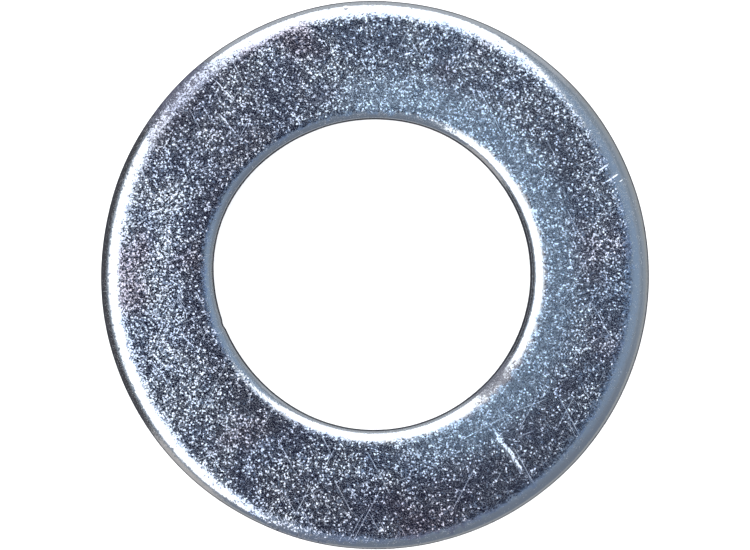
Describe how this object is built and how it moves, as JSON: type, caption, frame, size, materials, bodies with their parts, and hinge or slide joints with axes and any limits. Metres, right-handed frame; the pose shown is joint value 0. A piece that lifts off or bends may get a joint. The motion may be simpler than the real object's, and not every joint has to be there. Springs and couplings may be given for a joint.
{
  "type": "flat washer",
  "caption": "Flat round steel washer with a plain centre hole, punched edges rounded on the upper face, zinc plated.",
  "frame": {"origin": "on the axis of the hole, in the plane of the lower face, which is the burr side", "axes": "+Z along the axis of the hole, out of the upper face, whose two edges are rounded; X and Y are any two directions across the washer"},
  "size_m": [0.03, 0.03, 0.003],
  "materials": {
    "zinc_plate": "bright bluish zinc plate over tumbled, punched steel, with a fine sparkling grain on the faces"
  },
  "bodies": {
    "root": {"washer": "zinc_plate"}
  },
  "joints": []
}
